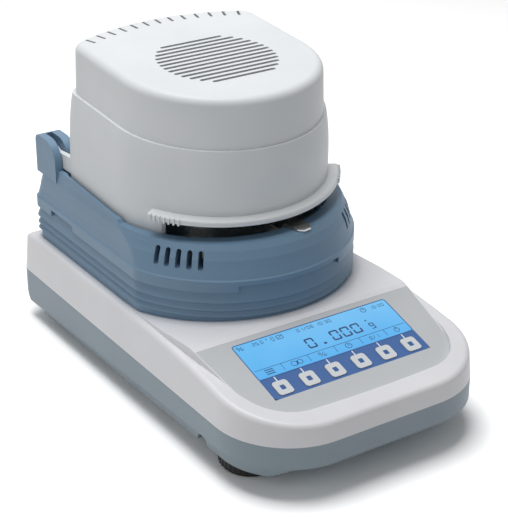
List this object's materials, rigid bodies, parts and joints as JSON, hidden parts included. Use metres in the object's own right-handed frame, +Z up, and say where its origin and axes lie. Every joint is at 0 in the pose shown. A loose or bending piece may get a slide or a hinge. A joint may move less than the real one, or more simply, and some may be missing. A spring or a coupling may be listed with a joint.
{
  "type": "moisture analyzer",
  "caption": "Halogen moisture analyzer: balance base with a tilted display panel, ribbed collar, drying chamber and a vented white hood that tips back.",
  "frame": {"origin": "on the table, in the middle of the footprint", "axes": "+Z up, the control panel faces -Y, +X to the right as the user sees it"},
  "size_m": [0.196, 0.345, 0.2329],
  "materials": {
    "white": "satin",
    "hood_white": "satin",
    "slate": "satin",
    "blue": "satin",
    "panel_grey": "matt film",
    "window": "clear over a lit screen",
    "strip_blue": "printed film",
    "key_film": "printed film",
    "rubber": "matt",
    "black_plastic": "matt",
    "steel": "brushed",
    "pan_steel": "bright",
    "aluminium": "milled",
    "board_green": "coated laminate",
    "glass": "clear",
    "ceramic": "matt",
    "tin": "matt coat"
  },
  "bodies": {
    "base": {"upper_case": "white", "lower_case": "slate", "control_panel": "panel_grey", "display_window": "window", "key_strip": "strip_blue", "key_board": "board_green", "lcd_module": "tin", "rear_feet": "rubber", "case_screws": "steel", "load_cell_base": "aluminium", "load_cell": "aluminium", "main_board": "board_green", "power_supply": "board_green", "collar": "blue", "chamber_body": "blue", "hinge_pins": "steel", "chamber_floor": "steel", "draft_shield": "steel", "rear_panel": "tin", "power_inlet": "black_plastic", "switch_frame": "black_plastic", "fuse_holder": "black_plastic", "serial_port": "steel", "usb_port": "steel"},
    "hood": {"hood_shell": "hood_white", "hood_reflector": "steel", "guard_plate": "steel", "guard_glass": "glass", "halogen_lamps": "glass", "lamp_sockets": "ceramic", "temperature_sensor": "steel"},
    "pan_support": {"pan_support": "steel"},
    "pan_handler": {"pan_handler": "steel"},
    "sample_pan": {"sample_pan": "pan_steel"},
    "rocker": {"power_rocker": "black_plastic"},
    "foot_pad_left": {"foot_pad_left": "rubber"},
    "foot_pad_right": {"foot_pad_right": "rubber"},
    "foot_wheel_left": {"foot_wheel_left": "black_plastic"},
    "foot_wheel_right": {"foot_wheel_right": "black_plastic"},
    "key_1": {"key_1": "key_film"},
    "key_2": {"key_2": "key_film"},
    "key_3": {"key_3": "key_film"},
    "key_4": {"key_4": "key_film"},
    "key_5": {"key_5": "key_film"},
    "key_6": {"key_6": "key_film"}
  },
  "joints": [
    {"name": "hood_hinge", "type": "hinge", "parent": "base", "child": "hood", "pos_m": [0, 0.134, 0.138], "axis": [-1, 0, 0], "range_deg": [0, 78]},
    {"name": "key_1_press", "type": "slide", "parent": "base", "child": "key_1", "axis": [0, 0.2568, -0.9665], "range_m": [0, 0.0004], "stiffness_N_per_m": 800, "springref_m": -0.0004},
    {"name": "key_2_press", "type": "slide", "parent": "base", "child": "key_2", "axis": [0, 0.2568, -0.9665], "range_m": [0, 0.0004], "stiffness_N_per_m": 800, "springref_m": -0.0004},
    {"name": "key_3_press", "type": "slide", "parent": "base", "child": "key_3", "axis": [0, 0.2568, -0.9665], "range_m": [0, 0.0004], "stiffness_N_per_m": 800, "springref_m": -0.0004},
    {"name": "key_4_press", "type": "slide", "parent": "base", "child": "key_4", "axis": [0, 0.2568, -0.9665], "range_m": [0, 0.0004], "stiffness_N_per_m": 800, "springref_m": -0.0004},
    {"name": "key_5_press", "type": "slide", "parent": "base", "child": "key_5", "axis": [0, 0.2568, -0.9665], "range_m": [0, 0.0004], "stiffness_N_per_m": 800, "springref_m": -0.0004},
    {"name": "key_6_press", "type": "slide", "parent": "base", "child": "key_6", "axis": [0, 0.2568, -0.9665], "range_m": [0, 0.0004], "stiffness_N_per_m": 800, "springref_m": -0.0004},
    {"name": "rocker_tilt", "type": "hinge", "parent": "base", "child": "rocker", "pos_m": [-0.016, 0.1545, 0.042], "axis": [1, 0, 0], "range_deg": [0, 10]},
    {"name": "foot_left_lift", "type": "slide", "parent": "base", "child": "foot_pad_left", "axis": [0, 0, 1], "range_m": [-0.00125, 0.00125]},
    {"name": "foot_left_spin", "type": "hinge", "parent": "foot_pad_left", "child": "foot_wheel_left", "pos_m": [-0.0665, -0.11, 0.006], "axis": [0, 0, 1], "range_deg": [-361, 361]},
    {"name": "foot_right_lift", "type": "slide", "parent": "base", "child": "foot_pad_right", "axis": [0, 0, 1], "range_m": [-0.00125, 0.00125]},
    {"name": "foot_right_spin", "type": "hinge", "parent": "foot_pad_right", "child": "foot_wheel_right", "pos_m": [0.0665, -0.11, 0.006], "axis": [0, 0, 1], "range_deg": [-361, 361]},
    {"name": "pan_support_give", "type": "slide", "parent": "base", "child": "pan_support", "axis": [0, 0, 1], "range_m": [-0.0004, 0], "stiffness_N_per_m": 4000, "springref_m": 0.0004},
    {"name": "pan_handler_lift", "type": "slide", "parent": "base", "child": "pan_handler", "axis": [0, 0, 1], "range_m": [0, 0.005]},
    {"name": "sample_pan_lift", "type": "slide", "parent": "pan_handler", "child": "sample_pan", "axis": [0, 0, 1], "range_m": [0, 0.004]}
  ],
  "couplings": [
    {"joint": "foot_left_spin", "follows": "foot_left_lift", "rad_per_m": 5026.5},
    {"joint": "foot_right_spin", "follows": "foot_right_lift", "rad_per_m": 5026.5}
  ]
}
